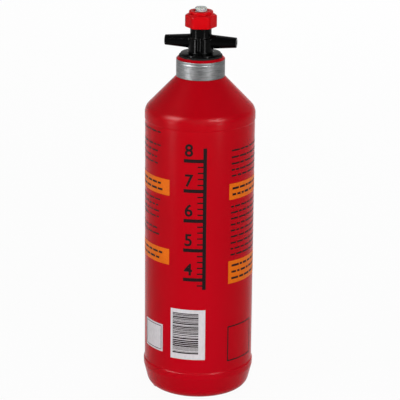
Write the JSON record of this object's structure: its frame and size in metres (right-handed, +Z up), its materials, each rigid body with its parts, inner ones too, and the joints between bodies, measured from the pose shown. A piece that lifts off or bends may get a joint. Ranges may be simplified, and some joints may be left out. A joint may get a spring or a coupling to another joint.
{
  "type": "camping fuel bottle",
  "caption": "Tall round plastic fuel bottle with a conical shoulder, a metal neck band and a screw cap that holds a thumb-pressed pouring valve with side spouts.",
  "frame": {"origin": "centre of the foot, on the surface that the bottle stands on", "axes": "+Z up along the bottle's axis, X along the two spouts, -Y towards the front of the panel"},
  "size_m": [0.0806, 0.0806, 0.2847],
  "materials": {
    "bottle_red": "satin blow-moulded polyethylene",
    "steel": "turned",
    "rubber": "moulded",
    "moulded_black": "moulded",
    "spring_steel": "drawn",
    "natural_plastic": "translucent natural",
    "knob_red": "moulded"
  },
  "bodies": {
    "bottle": {"bottle_shell": "bottle_red", "neck_ring": "steel"},
    "gasket": {"neck_gasket": "rubber"},
    "cap": {"valve_body": "moulded_black", "stem_o_ring": "rubber", "spring_seat": "steel", "return_spring": "spring_steel"},
    "stem": {"valve_stem": "natural_plastic", "poppet_seal": "rubber", "seal_washer": "steel", "retaining_clip": "spring_steel"},
    "thrust": {"knob_washer": "natural_plastic"},
    "knob": {"knob": "knob_red"}
  },
  "joints": [
    {"name": "cap_rise", "type": "slide", "parent": "bottle", "child": "gasket", "axis": [0, 0, 1], "range_m": [0, 0.02]},
    {"name": "cap_turn", "type": "hinge", "parent": "gasket", "child": "cap", "pos_m": [0, 0, 0.25], "axis": [0, 0, 1], "range_deg": [0, 1800]},
    {"name": "stem_press", "type": "slide", "parent": "cap", "child": "stem", "axis": [0, 0, -1], "range_m": [0, 0.0032], "stiffness_N_per_m": 600, "springref_m": -0.0015, "deforming": ["return_spring"]},
    {"name": "knob_rise", "type": "slide", "parent": "stem", "child": "thrust", "axis": [0, 0, 1], "range_m": [0, 0.0025], "deforming": ["return_spring"]},
    {"name": "knob_turn", "type": "hinge", "parent": "thrust", "child": "knob", "pos_m": [0, 0, 0.276], "axis": [0, 0, 1], "range_deg": [0, 720]}
  ],
  "couplings": [
    {"joint": "cap_rise", "follows": "cap_turn", "m_per_rad": 0.00063661},
    {"joint": "knob_rise", "follows": "knob_turn", "m_per_rad": 0.00019894}
  ]
}
